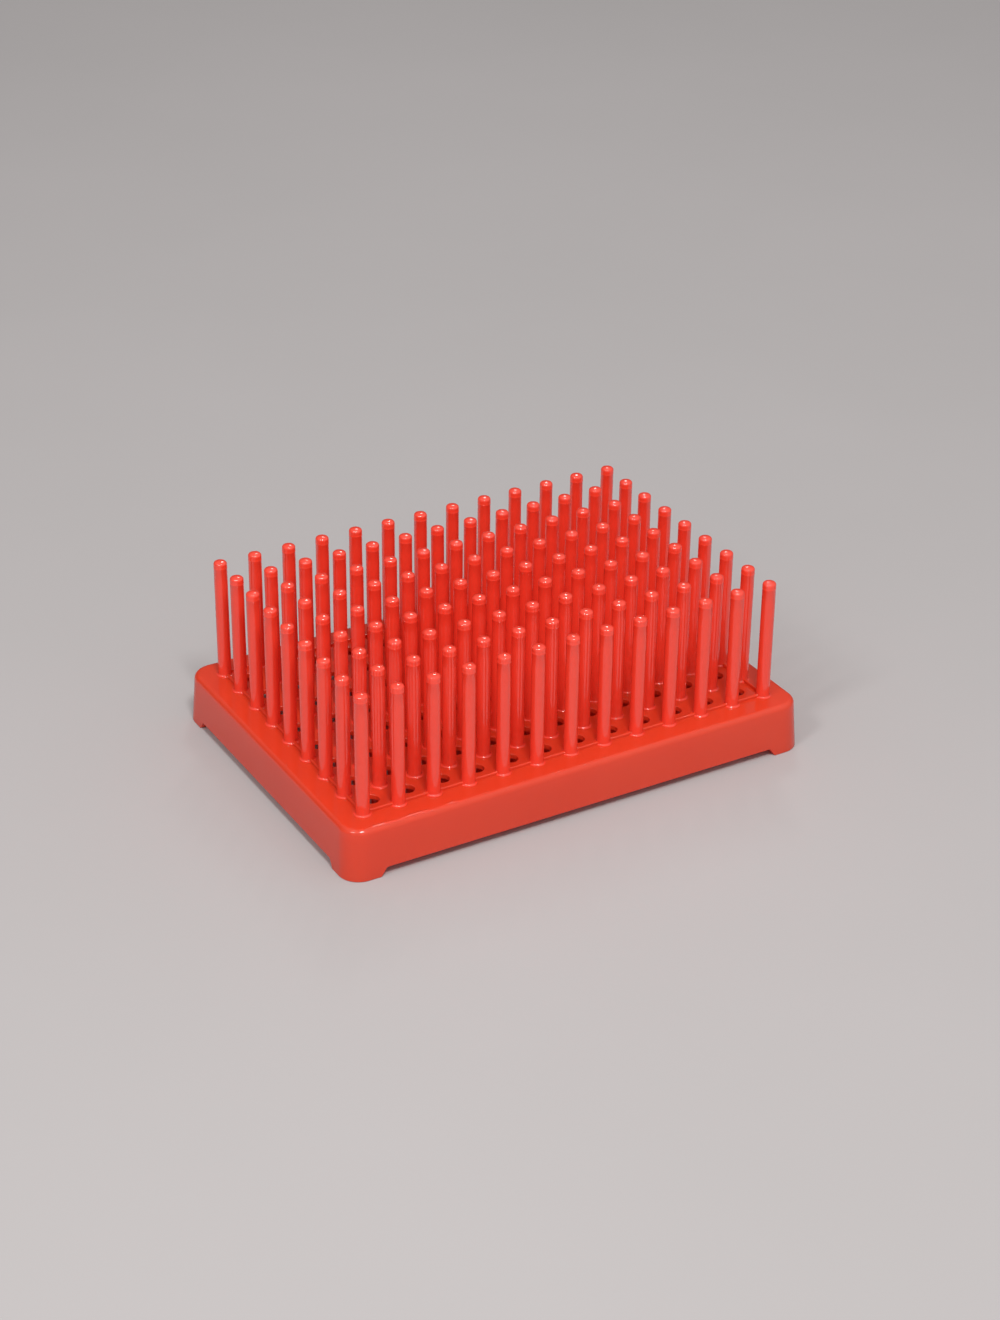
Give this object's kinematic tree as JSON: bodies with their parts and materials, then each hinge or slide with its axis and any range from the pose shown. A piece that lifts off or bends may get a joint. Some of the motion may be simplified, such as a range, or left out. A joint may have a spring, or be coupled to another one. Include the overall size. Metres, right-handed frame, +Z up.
{
  "type": "test tube peg rack",
  "caption": "Free-standing rack with a grid of round-tipped pegs on a shallow drained base, for drying or standing test tubes.",
  "frame": {"origin": "under the centre of the base, on the plane that the feet stand on", "axes": "+X along the long side, +Y across it, +Z up along the pegs"},
  "size_m": [0.2736, 0.1936, 0.0969],
  "materials": {
    "base_plastic": "smooth moulded, semi-gloss",
    "peg_plastic": "smooth moulded, semi-gloss"
  },
  "bodies": {
    "root": {"base": "base_plastic", "peg_row_01": "peg_plastic", "peg_row_02": "peg_plastic", "peg_row_03": "peg_plastic", "peg_row_04": "peg_plastic", "peg_row_05": "peg_plastic", "peg_row_06": "peg_plastic", "peg_row_07": "peg_plastic", "peg_row_08": "peg_plastic", "peg_row_09": "peg_plastic", "peg_row_10": "peg_plastic", "peg_row_11": "peg_plastic", "peg_row_12": "peg_plastic", "peg_row_13": "peg_plastic"}
  },
  "joints": []
}
